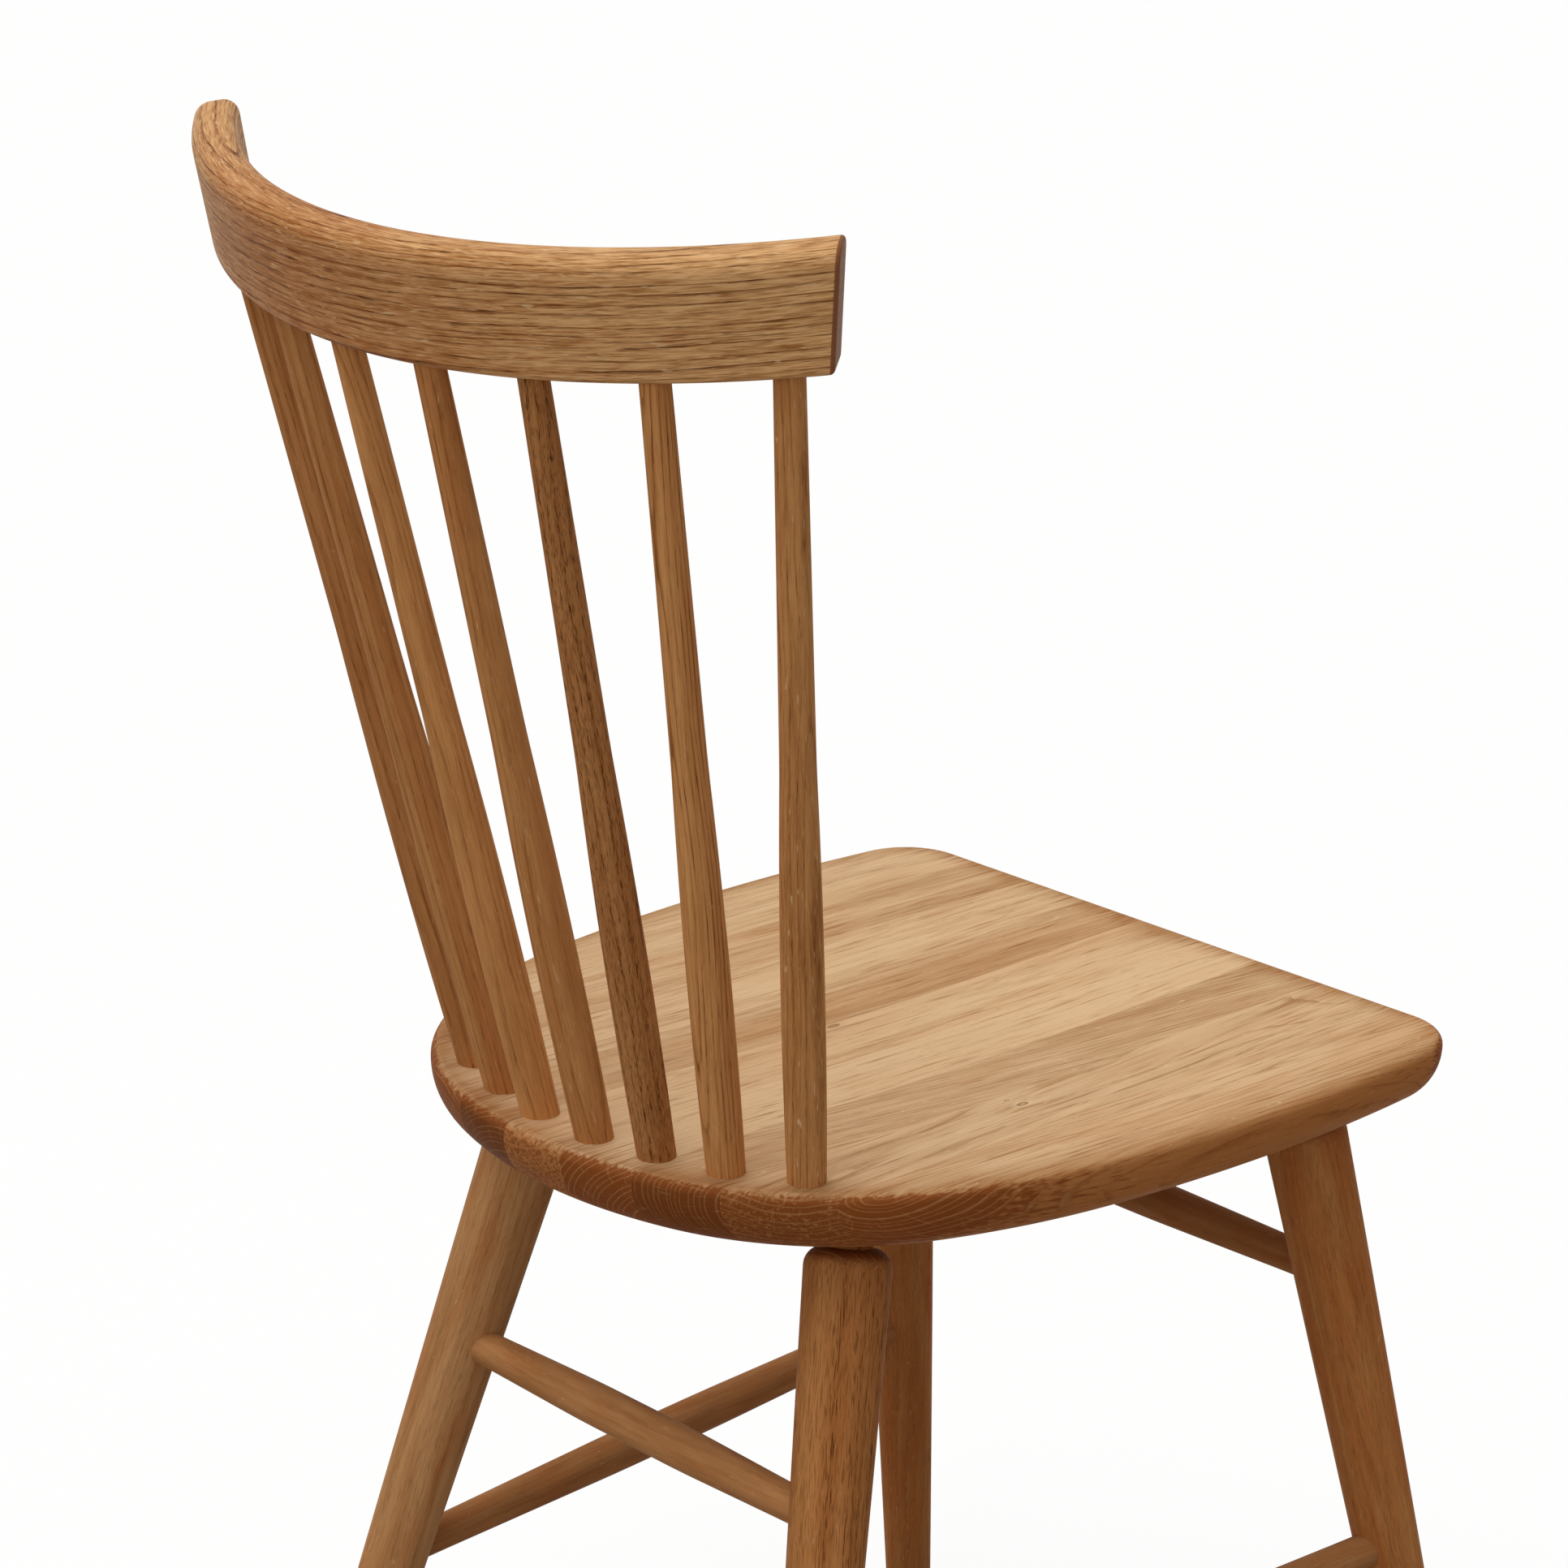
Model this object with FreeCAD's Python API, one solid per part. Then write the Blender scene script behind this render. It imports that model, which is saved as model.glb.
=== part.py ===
import FreeCAD, Part
import math
import os
from FreeCAD import Vector

os.makedirs("parts", exist_ok=True)

# Windsor chair in solid wood, all lengths in millimetres, all angles in degrees.
# While it is being built the top of the seat is z = 0, the chair faces -Y and the
# middle of the back spindles' feet is the origin. The last step moves everything so
# that the origin is the middle of the overall box, down on the floor.

# ---- seat: glued from boards that run from front to back
seat_height = 450.0
seat_thickness = 32.6
seat_front_y = -389.5
seat_corner_radius = 34.0
# half of the outline is arcs that run into each other, from the middle of the back round
# to the front edge: their radii, and how far each one but the last turns
seat_back_y = 21.2
seat_arc_radii = [233.0, 155.0, 346.0, 820.0]
seat_arc_turns = [17.5, 50.4, 14.6]
seat_top_rounding = 5.0
seat_under_rounding = 27.0
dish_depth = 3.0
dish_radius = 155.0
dish_center_y = -205.0
board_width = 40.0
board_count = 9

# ---- back: spindles fan out from the seat into the curved crest rail
spindle_foot_x = [18.9, 53.4, 87.0, 117.5]
spindle_foot_y = [0.0, -6.8, -17.6, -37.2]
spindle_foot_diameter = 17.2
spindle_belly_diameter = 18.6
spindle_belly_share = 0.3
spindle_neck_diameter = 15.4
spindle_neck_share = 0.53
spindle_top_diameter = 13.0
spindle_seat_depth = 20.0
spindle_crest_depth = 20.0

crest_height = 51.8
crest_thickness = 20.8
crest_line_radius = 314.0
crest_outer_offset = 10.7
# the spindles' heads lie on a slightly tighter curve than the rail's own
spindle_line_radius = 307.0
spindle_line_angle = 36.4
crest_end_angle = 39.2
crest_end_flare = 11.3
crest_rake = 12.3
crest_y = 90.8
crest_z = 366.0
crest_outer_top_rounding = 8.5
crest_inner_top_rounding = 7.0
crest_under_rounding = 3.0
crest_end_rounding = 2.0

# ---- legs: where their axes are at the reference level, and how they lean outwards from
# there down, as the angles seen from the front (splay) and from the side (rake)
leg_reference_z = -22.5
front_leg_x = 137.0
front_leg_y = -327.4
front_leg_splay_angle = 8.08
front_leg_rake_angle = 9.7
rear_leg_x = 105.4
rear_leg_y = -75.5
rear_leg_splay_angle = 10.04
rear_leg_rake_angle = 14.52
leg_top_diameter = 39.6
leg_middle_diameter = 33.4
leg_foot_diameter = 23.4
leg_middle_share = 0.42
leg_shoulder_rounding = 9.0
leg_tenon_diameter = 21.0
leg_socket_depth = 21.0
leg_foot_rounding = 2.0

# ---- stretchers: their levels below the top of the seat
rear_stretcher_z = -159.8
front_stretcher_z = -122.0
side_stretcher_front_z = -264.5
side_stretcher_rear_z = -272.5
stretcher_end_diameter = 16.6
stretcher_middle_diameter = 20.0
stretcher_middle_length = 70.0
stretcher_past_axis = 4.0

# ---- fits: the air left all round a round tenon, and past its end
glue_clearance = 0.12
end_gap = 0.5
# the leg's shoulder stays this far under the seat
shoulder_gap = 7.5
# two places this close together count as one
tolerance = 0.01


def turned(points, passed):
    """Turned piece along +Z from (radius, height) corners. The outline runs straight from
    corner to corner, but a corner numbered in passed only lies on an arc between its neighbours."""
    corners = [Vector(radius, 0, height) for radius, height in points]
    edges = []
    number = 0
    while number < len(corners) - 1:
        if number + 1 in passed:
            arc = Part.Arc(corners[number], corners[number + 1], corners[number + 2])
            edges.append(arc.toShape())
            number = number + 2
        else:
            edges.append(Part.makeLine(corners[number], corners[number + 1]))
            number = number + 1
    edges.append(Part.makeLine(corners[-1], corners[0]))
    face = Part.Face(Part.Wire(edges))
    return face.revolve(Vector(0, 0, 0), Vector(0, 0, 1), 360)


def along(shape, start, end):
    """The turned piece laid with its own +Z from start towards end."""
    placed = shape.copy()
    turn = FreeCAD.Rotation(Vector(0, 0, 1), end - start)
    placed.Placement = FreeCAD.Placement(start, turn)
    return placed


def mirrored(point):
    return Vector(-point.x, point.y, point.z)


def rod(diameter, start, end):
    axis = end - start
    return Part.makeCylinder(diameter / 2, axis.Length, start, axis)


# ---------------------------------------------------------------- the crest's own frame
rake = math.radians(crest_rake)
crest_up = Vector(0, math.sin(rake), math.cos(rake))
crest_back = Vector(0, math.cos(rake), -math.sin(rake))
crest_middle = Vector(0, crest_y, crest_z)


def head_point(angle):
    """Where a spindle's axis enters the crest rail; angle 0 is the middle of the back."""
    theta = math.radians(angle)
    sideways = Vector(spindle_line_radius * math.sin(theta), 0, 0)
    return crest_middle + sideways + crest_back * (spindle_line_radius * (math.cos(theta) - 1))


# ---------------------------------------------------------------- spindles
spindle_feet = []
for x, y in zip(spindle_foot_x, spindle_foot_y):
    spindle_feet.append(Vector(-x, y, 0))
spindle_feet.reverse()
for x, y in zip(spindle_foot_x, spindle_foot_y):
    spindle_feet.append(Vector(x, y, 0))
spindle_count = len(spindle_feet)
head_step = 2 * spindle_line_angle / (spindle_count - 1)
spindle_heads = [head_point(number * head_step - spindle_line_angle)
                 for number in range(spindle_count)]

spindles = []
seat_sockets = []
crest_sockets = []
for foot, head in zip(spindle_feet, spindle_heads):
    direction = (head - foot).normalize()
    length = (head - foot).Length
    start = foot - direction * spindle_seat_depth
    end = head + direction * spindle_crest_depth
    full = (end - start).Length
    at_foot = spindle_seat_depth
    profile = [(0, 0),
               (spindle_foot_diameter / 2, 0),
               (spindle_foot_diameter / 2, at_foot),
               (spindle_belly_diameter / 2, at_foot + spindle_belly_share * length),
               (spindle_neck_diameter / 2, at_foot + spindle_neck_share * length),
               (spindle_top_diameter / 2, at_foot + length),
               (spindle_top_diameter / 2, full),
               (0, full)]
    spindles.append(along(turned(profile, [3]), start, end))
    seat_sockets.append(rod(spindle_foot_diameter + 2 * glue_clearance,
                            start - direction * end_gap,
                            foot + direction * spindle_foot_diameter))
    crest_sockets.append(rod(spindle_top_diameter + 2 * glue_clearance,
                             head - direction * spindle_top_diameter,
                             end + direction * end_gap))

# ---------------------------------------------------------------- crest rail
outer = crest_line_radius + crest_outer_offset
inner = outer - crest_thickness
corners = [Vector(inner, 0, 0), Vector(outer, 0, 0),
           Vector(outer, 0, crest_height), Vector(inner, 0, crest_height)]
roundings = [crest_under_rounding, crest_under_rounding,
             crest_outer_top_rounding, crest_inner_top_rounding]
edges = []
for number, corner in enumerate(corners):
    before = (corners[number - 1] - corner).normalize()
    after = (corners[(number + 1) % 4] - corner).normalize()
    radius = roundings[number]
    first = corner + before * radius
    last = corner + after * radius
    middle = corner + (before + after) * (radius * (1 - math.sqrt(0.5)))
    edges.append(Part.Arc(first, middle, last).toShape())
    next_radius = roundings[(number + 1) % 4]
    edges.append(Part.makeLine(last, corners[(number + 1) % 4] - after * next_radius))
section = Part.Face(Part.Wire(Part.sortEdges(edges)[0]))
extra_angle = 6.0
half_sweep = crest_end_angle + extra_angle
section.rotate(Vector(0, 0, 0), Vector(0, 0, 1), 90 - half_sweep)
crest = section.revolve(Vector(0, 0, 0), Vector(0, 0, 1), 2 * half_sweep)
# the ends are cut to lean outwards like the outer spindles
knife_size = 4 * crest_thickness + 2 * crest_height
for side in (-1, 1):
    knife = Part.makeBox(knife_size, knife_size, knife_size)
    knife.translate(Vector(0, outer - knife_size / 2, -knife_size / 2))
    knife.rotate(Vector(0, 0, 0), Vector(0, 1, 0), crest_end_flare)
    knife.rotate(Vector(0, 0, 0), Vector(0, 0, 1), -crest_end_angle)
    if side < 0:
        knife = knife.mirror(Vector(0, 0, 0), Vector(1, 0, 0))
    crest = crest.cut(knife)
lean = math.radians(crest_end_flare)
end_turn = math.radians(crest_end_angle)
end_normal = Vector(math.cos(lean) * math.cos(end_turn), -math.cos(lean) * math.sin(end_turn),
                    -math.sin(lean))


def on_end(edge):
    """True for an edge that lies in one of the two sawn end faces."""
    places = [vertex.Point for vertex in edge.Vertexes] + [edge.CenterOfMass]
    return all(abs(Vector(abs(place.x), place.y, place.z).dot(end_normal)) < tolerance
               for place in places)


end_edges = [edge for edge in crest.Edges if on_end(edge)]
crest = crest.makeFillet(crest_end_rounding, end_edges)
turn = FreeCAD.Rotation(Vector(1, 0, 0), -crest_rake)
crest.Placement = FreeCAD.Placement(crest_middle - crest_back * crest_line_radius, turn)
for socket in crest_sockets:
    crest = crest.cut(socket)

# ---------------------------------------------------------------- seat panel
outline = []
start = Vector(0, seat_back_y, 0)
heading = 0.0
for number, radius in enumerate(seat_arc_radii):
    center = start - Vector(math.sin(heading), math.cos(heading), 0) * radius
    if number < len(seat_arc_turns):
        last_heading = heading + math.radians(seat_arc_turns[number])
    else:
        last_heading = math.acos((seat_front_y - center.y) / radius)
    between = (heading + last_heading) / 2
    middle = center + Vector(math.sin(between), math.cos(between), 0) * radius
    end = center + Vector(math.sin(last_heading), math.cos(last_heading), 0) * radius
    if number == 0:
        outline.append(Part.Arc(mirrored(end), start, end).toShape())
    else:
        outline.append(Part.Arc(start, middle, end).toShape())
        outline.append(Part.Arc(mirrored(start), mirrored(middle), mirrored(end)).toShape())
    start = end
    heading = last_heading
outline.append(Part.makeLine(start, mirrored(start)))
panel_face = Part.Face(Part.Wire(Part.sortEdges(outline)[0]))
panel = panel_face.extrude(Vector(0, 0, -seat_thickness))
corner_edges = [edge for edge in panel.Edges
                if edge.BoundBox.ZLength > seat_thickness / 2
                and edge.BoundBox.YMax < seat_front_y + tolerance]
panel = panel.makeFillet(seat_corner_radius, corner_edges)
top_edges = [edge for edge in panel.Edges if edge.BoundBox.ZMin > -tolerance]
panel = panel.makeFillet(seat_top_rounding, top_edges)
under_edges = [edge for edge in panel.Edges if edge.BoundBox.ZMax < tolerance - seat_thickness]
panel = panel.makeFillet(seat_under_rounding, under_edges)
dish_sphere_radius = (dish_radius ** 2 + dish_depth ** 2) / (2 * dish_depth)
dish = Part.makeSphere(dish_sphere_radius,
                       Vector(0, dish_center_y, dish_sphere_radius - dish_depth))
panel = panel.cut(dish)
for socket in seat_sockets:
    panel = panel.cut(socket)


# ---------------------------------------------------------------- legs
def leg_axis(side, front, z):
    """The point of a leg's axis at the level z; side is +1 for the sitter's left."""
    drop = leg_reference_z - z
    if front:
        x = front_leg_x + math.tan(math.radians(front_leg_splay_angle)) * drop
        y = front_leg_y - math.tan(math.radians(front_leg_rake_angle)) * drop
    else:
        x = rear_leg_x + math.tan(math.radians(rear_leg_splay_angle)) * drop
        y = rear_leg_y + math.tan(math.radians(rear_leg_rake_angle)) * drop
    return Vector(side * x, y, z)


legs = {}
leg_names = {(1, True): "leg_front_left", (-1, True): "leg_front_right",
             (1, False): "leg_rear_left", (-1, False): "leg_rear_right"}
floor_z = -seat_height
for (side, front), name in leg_names.items():
    at_seat = leg_axis(side, front, -seat_thickness)
    at_floor = leg_axis(side, front, floor_z)
    downwards = (at_floor - at_seat).normalize()
    tilt = math.acos(-downwards.z)
    # the shoulder is square to the leg, so its high side sets how far down it sits
    shoulder_radius = leg_top_diameter / 2 - leg_shoulder_rounding
    slack = leg_shoulder_rounding * (1 - math.cos(tilt))
    shoulder_drop = (shoulder_radius * math.sin(tilt) + slack) / math.cos(tilt) + shoulder_gap
    shoulder = at_seat + downwards * shoulder_drop
    tenon_top = at_seat - downwards * (leg_socket_depth / math.cos(tilt))
    past_floor = at_floor + downwards * (leg_foot_diameter / 2)
    shoulder_at = (shoulder - tenon_top).Length
    full = (past_floor - tenon_top).Length
    length = full - shoulder_at
    rounding = leg_shoulder_rounding
    corner_share = 1 - math.sqrt(0.5)
    profile = [(0, 0),
               (leg_tenon_diameter / 2, 0),
               (leg_tenon_diameter / 2, shoulder_at),
               (shoulder_radius, shoulder_at),
               (leg_top_diameter / 2 - rounding * corner_share, shoulder_at + rounding * corner_share),
               (leg_top_diameter / 2, shoulder_at + rounding),
               (leg_middle_diameter / 2, shoulder_at + leg_middle_share * length),
               (leg_foot_diameter / 2, full),
               (0, full)]
    leg = along(turned(profile, [4]), tenon_top, past_floor)
    # the feet are sawn level with the floor
    below = Part.makeBox(4 * seat_height, 4 * seat_height, seat_height,
                         Vector(-2 * seat_height, -3 * seat_height, floor_z - seat_height))
    leg = leg.cut(below)
    rim = [edge for edge in leg.Edges if edge.BoundBox.ZMax < floor_z + tolerance]
    leg = leg.makeChamfer(leg_foot_rounding, rim)
    legs[name] = leg
    panel = panel.cut(rod(leg_tenon_diameter + 2 * glue_clearance,
                          tenon_top - downwards * end_gap, shoulder))

# ---------------------------------------------------------------- stretchers
stretchers = {}
rear_z = rear_stretcher_z
front_z = front_stretcher_z
stretcher_runs = {
    "stretcher_rear": ((1, False), rear_z, (-1, False), rear_z),
    "stretcher_front": ((1, True), front_z, (-1, True), front_z),
    "stretcher_left": ((1, True), side_stretcher_front_z, (1, False), side_stretcher_rear_z),
    "stretcher_right": ((-1, True), side_stretcher_front_z, (-1, False), side_stretcher_rear_z)}
for name, (first_leg, first_z, second_leg, second_z) in stretcher_runs.items():
    first = leg_axis(first_leg[0], first_leg[1], first_z)
    second = leg_axis(second_leg[0], second_leg[1], second_z)
    direction = (second - first).normalize()
    start = first - direction * stretcher_past_axis
    end = second + direction * stretcher_past_axis
    full = (end - start).Length
    straight = stretcher_past_axis + leg_top_diameter / 2
    profile = [(0, 0),
               (stretcher_end_diameter / 2, 0),
               (stretcher_end_diameter / 2, straight),
               (stretcher_middle_diameter / 2, full / 2 - stretcher_middle_length / 2),
               (stretcher_middle_diameter / 2, full / 2 + stretcher_middle_length / 2),
               (stretcher_end_diameter / 2, full - straight),
               (stretcher_end_diameter / 2, full),
               (0, full)]
    stretchers[name] = along(turned(profile, []), start, end)
    hole = stretcher_end_diameter + 2 * glue_clearance
    for leg_key, tip, towards in ((first_leg, start, direction), (second_leg, end, direction * -1)):
        leg_name = leg_names[leg_key]
        socket = rod(hole, tip - towards * end_gap, tip + towards * (2 * straight))
        legs[leg_name] = legs[leg_name].cut(socket)

# ---------------------------------------------------------------- seat boards
boards = []
reach = seat_height
for number in range(board_count):
    left = (number - board_count / 2) * board_width
    right = left + board_width
    if number == 0:
        left = -reach
    if number == board_count - 1:
        right = reach
    slab = Part.makeBox(right - left, 2 * reach, 2 * reach, Vector(left, -1.5 * reach, -reach))
    boards.append(panel.common(slab))

# ---------------------------------------------------------------- names and the origin
nodes = {"crest_rail": crest}
for number, spindle in enumerate(spindles, 1):
    nodes["spindle_%d" % number] = spindle
for number, board in enumerate(boards, 1):
    nodes["seat_board_%d" % number] = board
nodes.update(legs)
nodes.update(stretchers)

whole = Part.makeCompound(list(nodes.values())).optimalBoundingBox(False, False)
move = Vector(0, -(whole.YMin + whole.YMax) / 2, seat_height)
for name, shape in nodes.items():
    solid = shape.Solids[0]
    solid.translate(move)
    solid.exportStep("parts/" + name + ".step")
    box = solid.optimalBoundingBox(False, False)
    print(name, len(shape.Solids), solid.isValid(), round(solid.Volume / 1000, 2), "cm3",
          [round(value, 1) for value in (box.XMin, box.YMin, box.ZMin, box.XMax, box.YMax, box.ZMax)])
print("moved by", move)
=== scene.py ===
import math

import bmesh
import bpy
import numpy as np
from mathutils import Matrix, Vector


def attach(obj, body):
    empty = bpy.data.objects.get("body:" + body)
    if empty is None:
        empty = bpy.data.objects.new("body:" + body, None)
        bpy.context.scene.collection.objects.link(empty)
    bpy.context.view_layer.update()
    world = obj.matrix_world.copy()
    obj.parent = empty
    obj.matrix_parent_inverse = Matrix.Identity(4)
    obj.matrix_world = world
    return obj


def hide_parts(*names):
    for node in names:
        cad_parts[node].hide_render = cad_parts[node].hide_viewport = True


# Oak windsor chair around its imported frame. Shapes are worked out in millimetres,
# z up, the chair facing -Y, the origin on the floor under the middle of the chair.
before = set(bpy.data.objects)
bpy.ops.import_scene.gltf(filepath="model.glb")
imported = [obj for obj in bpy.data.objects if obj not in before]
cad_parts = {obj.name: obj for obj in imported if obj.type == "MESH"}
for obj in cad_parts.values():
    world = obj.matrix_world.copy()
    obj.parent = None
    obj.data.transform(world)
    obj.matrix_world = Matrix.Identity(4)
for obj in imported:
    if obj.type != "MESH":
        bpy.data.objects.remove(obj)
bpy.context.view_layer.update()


class Value:
    # wraps an output socket, so that + - * / on it add Math nodes
    def __init__(self, tree, socket):
        self.tree = tree
        self.socket = socket

    def math(self, operation, *others, clamp=False):
        settings = {"operation": operation, "use_clamp": clamp}
        return self.tree.add("ShaderNodeMath", settings, dict(enumerate((self,) + others)))

    def __add__(self, other):
        return self.math("ADD", other)

    def __sub__(self, other):
        return self.math("SUBTRACT", other)

    def __mul__(self, other):
        return self.math("MULTIPLY", other)

    def __truediv__(self, other):
        return self.math("DIVIDE", other)

    def __rsub__(self, other):
        return self.tree.add("ShaderNodeMath", {"operation": "SUBTRACT"}, {0: other, 1: self})

    __radd__ = __add__
    __rmul__ = __mul__

    def part(self, low, high):
        # 0 below low, 1 above high, and smooth between
        return self.tree.add("ShaderNodeMapRange", {"interpolation_type": "SMOOTHSTEP"},
                             {"Value": self, "From Min": low, "From Max": high})


class Tree:
    # one material's or world's nodes
    def __init__(self, owner):
        owner.use_nodes = True
        self.nodes = owner.node_tree.nodes
        self.links = owner.node_tree.links
        self.nodes.clear()

    def plug(self, socket, value):
        # a colour is given as three numbers, and its socket wants an alpha as well
        if isinstance(value, Value):
            self.links.new(value.socket, socket)
        elif socket.type == "RGBA":
            socket.default_value = (*value, 1.0)
        else:
            socket.default_value = value

    def add(self, kind, settings=None, sockets=None, out=0):
        node = self.nodes.new(kind)
        for key, value in (settings or {}).items():
            setattr(node, key, value)
        for key, value in (sockets or {}).items():
            self.plug(node.inputs[key], value)
        return Value(self, node.outputs[out])

    def vector(self, operation, *others, out=0):
        return self.add("ShaderNodeVectorMath", {"operation": operation},
                        dict(enumerate(others)), out)

    def mix(self, factor, first, second):
        return self.add("ShaderNodeMix", {"data_type": "RGBA", "clamp_factor": True},
                        {"Factor": factor, 6: first, 7: second}, 2)

    def split(self, vector):
        node = self.add("ShaderNodeSeparateXYZ", {}, {0: vector}).socket.node
        return [Value(self, output) for output in node.outputs]

    def join(self, x, y, z):
        return self.add("ShaderNodeCombineXYZ", {}, {0: x, 1: y, 2: z})

    def finish(self, kind, shader):
        output = self.nodes.new(kind)
        self.links.new(shader.socket, output.inputs["Surface"])

    def noise(self, place, size, detail=2.0, roughness=0.5, out=0):
        # size: how many millimetres one blob is across, up and along
        return self.add("ShaderNodeTexNoise", {"noise_dimensions": "3D"},
                        {"Vector": self.vector("DIVIDE", place, size), "Scale": 1.0,
                         "Detail": detail, "Roughness": roughness}, out)


def makeOak(name, look):
    # Oak as a solid: rings round a pith that runs along the grain, dark pores drawn out
    # along it and crowded where a ring starts, and pale rays that stand out from the pith.
    # The attribute "grain" is the place in the tree in millimetres, z along the grain, and
    # "wood" holds the brightness, the redness, how squarely the grain is cut across, and
    # in its alpha how darkly that place is streaked; on the seat's rim the brightness, redness
    # and alpha also carry painted shade.
    material = bpy.data.materials.new(name)
    tree = Tree(material)
    place = tree.add("ShaderNodeAttribute", {"attribute_name": "grain"}, out="Vector")
    wood = tree.add("ShaderNodeAttribute", {"attribute_name": "wood"}, out="Color")
    stainAndShade = Value(tree, wood.socket.node.outputs["Alpha"])
    brightness, redness, endGrain = tree.split(wood)

    def wave(size, depth):
        # the growth sways by up to half the depth to each side
        blob = tree.noise(place, size, 1.0, out="Color")
        sway = tree.vector("SUBTRACT", blob, (0.5, 0.5, 0.5))
        return tree.vector("MULTIPLY", sway, (depth, depth, 0.0))

    grown = tree.vector("ADD", place, wave(look["slowWave"], look["slowDepth"]))
    grown = tree.vector("ADD", grown, wave(look["quickWave"], look["quickDepth"]))
    across, up, along = tree.split(grown)
    distance = tree.vector("LENGTH", tree.join(across, up, 0.0), out="Value")
    angle = up.math("ARCTAN2", across)

    # rings of uneven width: a crisp dark start, a soft dark early part, a faint late part
    uneven = tree.noise(tree.join(distance, 0.0, 0.0), (look["ringWidth"] * look["uneven"],) * 3, 1.0)
    moved = distance + (uneven - 0.5) * look["ringWidth"] * look["uneven"]
    phase = (moved / look["ringWidth"]).math("FRACT")
    started = phase.part(*look["ringStart"])
    early = (1.0 - phase.part(0.0, look["earlyShare"])) * started
    line = (1.0 - phase.part(*look["lineFade"])) * started
    late = phase.part(*look["lateStart"]) * (1.0 - phase.part(*look["lateEnd"]))

    fibre = tree.noise(place, look["fibre"], look["fibreDetail"], look["fibreRoughness"]) - 0.5
    streak = tree.noise(grown, look["streak"], 2.0) - 0.5
    patch = tree.noise(grown, look["patch"], 2.0) - 0.5
    cloud = tree.noise(grown, look["cloud"], 3.0, look["cloudRoughness"], out="Color")
    cloud = tree.split(cloud)[2] - 0.5
    broken = tree.noise(grown, look["broken"], 1.0).part(*look["brokenEdge"])
    poreNoise = tree.noise(grown, look["pore"], 1.0)
    poreHere = early * look["poreInRing"] + look["poreElsewhere"]
    pores = poreNoise.part(look["poreFrom"], look["poreFrom"] + look["poreEdge"]) * poreHere

    rayPlace = tree.join(angle * look["rayRadius"], distance, along)
    rayNoise = tree.noise(rayPlace, look["ray"], 1.0)
    rays = rayNoise.part(look["rayFrom"], look["rayFrom"] + look["rayEdge"])

    # stainAndShade browns the wood: real streaks, and on the seat's rim painted shade
    tint = early * look["earlyDepth"] + late * look["lateDepth"] + stainAndShade
    tint = tint + streak * look["streakDepth"] + fibre * look["fibreDepth"]
    tint = tint + cloud * look["cloudDepth"]
    tint = tint.math("ADD", look["tintShift"], clamp=True)
    colour = tree.mix(tint, look["pale"], look["brown"])
    colour = tree.mix(redness + patch * look["patchDepth"], colour, look["red"])
    colour = tree.mix(line * broken * look["lineDepth"], colour,
                      tree.vector("MULTIPLY", colour, look["lineTint"]))
    colour = tree.mix(pores * look["poreDepth"], colour,
                      tree.vector("MULTIPLY", colour, look["poreTint"]))
    colour = tree.mix(rays * look["rayDepth"], colour, look["rayColour"])

    # sawn across, the wood drinks more oil: dark, with pale ring lines and ray lines
    endPlace = tree.join(angle * look["rayRadius"], distance * look["endRadial"],
                         along * look["endAlong"])
    rayLines = tree.noise(endPlace, look["endRay"], 1.0).part(*look["endRayEdge"])
    endPale = line * look["endLine"] + rayLines * look["endRayDepth"]
    endPale = endPale + fibre * look["endFibre"] + patch * look["endPatch"]
    endWood = tree.mix(endPale, look["endColour"], look["endPale"])
    endHere = (endGrain + fibre * look["endRagged"]).part(*look["endEdge"])
    colour = tree.mix(endHere * look["endDepth"], colour, endWood)
    for knot in look["knots"]:
        colour = makeKnot(tree, colour, knot)
    colour = tree.add("ShaderNodeVectorMath", {"operation": "SCALE"},
                      {0: colour, "Scale": brightness})

    roughness = pores * look["poreRough"] + fibre * look["fibreRough"] + look["roughness"]
    height = fibre * look["fibreHigh"] - pores - line * look["lineDeep"] + rays * look["rayHigh"]
    bump = tree.add("ShaderNodeBump", {}, {"Strength": look["bumpStrength"],
                                           "Distance": look["bumpDistance"], "Height": height})
    shader = tree.add("ShaderNodeBsdfPrincipled", {}, {
        "Base Color": colour, "Roughness": roughness, "Normal": bump,
        "IOR": look["ior"], "Specular IOR Level": look["gloss"]})
    tree.finish("ShaderNodeOutputMaterial", shader)
    return material


def makeKnot(tree, colour, knot):
    # a pin knot at a place on the chair: dark round its edge, paler at its heart and about it;
    # the edges are distances from its middle as shares of its size
    here = tree.add("ShaderNodeTexCoord", out="Object")
    away = tree.vector("DIVIDE", tree.vector("SUBTRACT", here, knot["place"]), knot["size"])
    away = tree.vector("LENGTH", away, out="Value")
    colour = tree.mix((1.0 - away.part(*knotEdges["about"])) * knotEdges["paler"], colour, knot["pale"])
    colour = tree.mix((1.0 - away.part(*knotEdges["edge"])) * knot["depth"], colour, knot["dark"])
    return tree.mix((1.0 - away.part(*knotEdges["heart"])) * knotEdges["paler"], colour, knot["pale"])


knotEdges = {"about": (1.1, 3.0), "edge": (0.9, 1.35), "heart": (0.2, 0.75), "paler": 0.5}

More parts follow.
